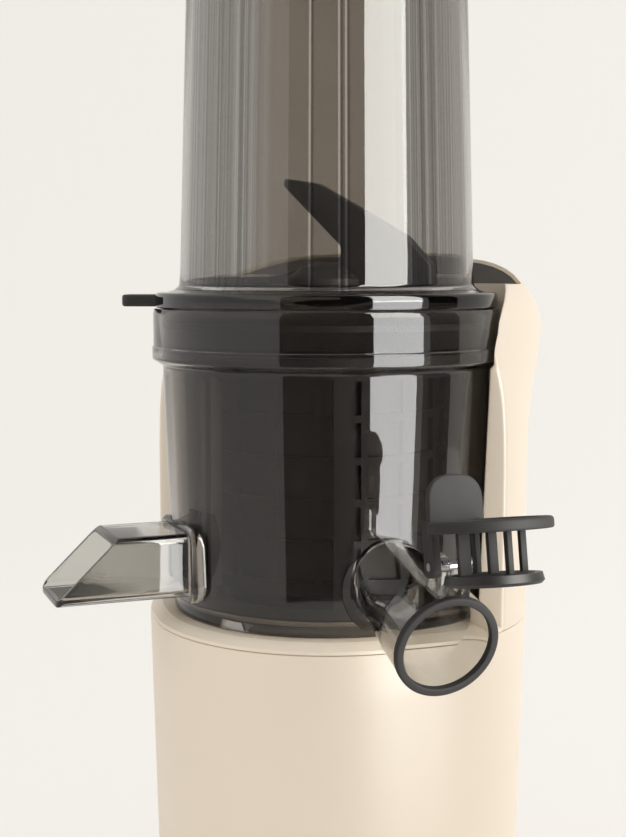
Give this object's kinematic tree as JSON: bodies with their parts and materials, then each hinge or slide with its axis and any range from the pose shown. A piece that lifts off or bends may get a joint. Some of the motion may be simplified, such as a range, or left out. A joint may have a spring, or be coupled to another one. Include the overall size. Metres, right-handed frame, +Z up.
{
  "type": "cold press juicer",
  "caption": "Upright cold press juicer: cream drive housing with rear column, smoked bowl with juice and pulp spouts, capped juice spout, strainer, wiper brush, auger and tall hopper lid.",
  "frame": {"origin": "under the middle of the whole juicer's plan, on the table", "axes": "+Z up, front of the juicer towards -Y, rear column towards +Y, juice spout to the front right"},
  "size_m": [0.2237, 0.2399, 0.4712],
  "materials": {
    "cream_plastic": "satin cream",
    "dark_plastic": "matte dark grey",
    "inlay_plastic": "soft dark grey",
    "rubber": "matte",
    "steel": "brushed",
    "screw_steel": "zinc plated",
    "motor_steel": "grey",
    "copper": "wound copper",
    "gear_plastic": "natural",
    "board": "green board",
    "smoke_bowl": "smoked clear plastic",
    "smoke_hopper": "smoked clear plastic",
    "clear_spout": "lightly smoked clear plastic",
    "cage_plastic": "dark plastic",
    "silicone": "dark silicone",
    "auger_plastic": "dark plastic",
    "knob_metal": "satin cream",
    "bezel_metal": "satin"
  },
  "bodies": {
    "base": {"base_housing": "cream_plastic", "base_cover": "dark_plastic", "rubber_feet": "rubber", "top_deck": "cream_plastic", "rear_column": "cream_plastic", "column_inlay": "inlay_plastic", "cord_gland": "rubber", "housing_screws": "screw_steel", "lock_switch": "dark_plastic", "circuit_board": "board", "control_switch": "dark_plastic", "knob_bezel": "bezel_metal", "motor_can": "motor_steel", "motor_end_cap": "dark_plastic", "gearbox_case": "dark_plastic", "gearbox_lid": "dark_plastic", "gearbox_screws": "screw_steel", "gearbox_posts": "dark_plastic", "idler_pin": "steel", "lower_bearing": "steel", "upper_bearing": "steel", "deck_seal": "rubber", "juicing_bowl": "smoke_bowl", "bowl_seal": "silicone", "juice_spout": "clear_spout", "cap_hinge_pin": "steel", "pulp_spout": "clear_spout", "pulp_gasket": "silicone", "pinion_pin": "steel", "strainer_cage": "cage_plastic", "strainer_mesh": "steel"},
    "lid": {"hopper_lid": "smoke_hopper", "lid_seal": "silicone", "cover_hinge_pin": "steel"},
    "cover": {"hopper_cover": "smoke_hopper"},
    "auger_drive": {"drive_shaft": "steel", "output_gear": "gear_plastic", "auger": "auger_plastic", "auger_wing": "auger_plastic", "auger_socket": "steel", "auger_seal": "silicone"},
    "brush": {"brush_frame": "cage_plastic", "brush_blades": "silicone"},
    "pinion": {"brush_pinion": "gear_plastic"},
    "idler": {"idler_gear": "gear_plastic"},
    "rotor": {"motor_rotor": "copper", "cooling_fan": "dark_plastic"},
    "knob": {"control_knob": "knob_metal"},
    "cap": {"juice_cap": "dark_plastic", "cap_seal": "silicone"}
  },
  "joints": [
    {"name": "auger_spin", "type": "hinge", "parent": "base", "child": "auger_drive", "pos_m": [-0.01373, 0.00588, 0.21], "axis": [0, 0, 1], "continuous": true},
    {"name": "brush_spin", "type": "hinge", "parent": "base", "child": "brush", "pos_m": [-0.01373, 0.00588, 0.191], "axis": [0, 0, 1], "continuous": true},
    {"name": "pinion_spin", "type": "hinge", "parent": "base", "child": "pinion", "pos_m": [-0.01373, 0.03288, 0.191], "axis": [0, 0, 1], "continuous": true},
    {"name": "idler_spin", "type": "hinge", "parent": "base", "child": "idler", "pos_m": [-0.01373, 0.04338, 0.11], "axis": [0, 0, 1], "continuous": true},
    {"name": "rotor_spin", "type": "hinge", "parent": "base", "child": "rotor", "pos_m": [-0.01373, 0.00588, 0.06], "axis": [0, 0, 1], "continuous": true},
    {"name": "lid_twist", "type": "hinge", "parent": "base", "child": "lid", "pos_m": [-0.01373, 0.00588, 0.3113], "axis": [0, 0, 1], "range_deg": [0, 25]},
    {"name": "cover_flip", "type": "hinge", "parent": "lid", "child": "cover", "pos_m": [-0.01373, 0.06888, 0.4677], "axis": [-1, 0, 0], "range_deg": [0, 100]},
    {"name": "cap_close", "type": "hinge", "parent": "base", "child": "cap", "pos_m": [0.07185, -0.07971, 0.22344], "axis": [0.7071, 0.7071, 0], "range_deg": [0, 117]},
    {"name": "knob_turn", "type": "hinge", "parent": "base", "child": "knob", "pos_m": [-0.01373, -0.06512, 0.062], "axis": [0, -1, 0], "range_deg": [-60, 60]}
  ],
  "couplings": [
    {"joint": "brush_spin", "follows": "auger_spin", "ratio": -0.5},
    {"joint": "pinion_spin", "follows": "auger_spin", "ratio": -2},
    {"joint": "idler_spin", "follows": "auger_spin", "ratio": -4},
    {"joint": "rotor_spin", "follows": "auger_spin", "ratio": 16}
  ]
}
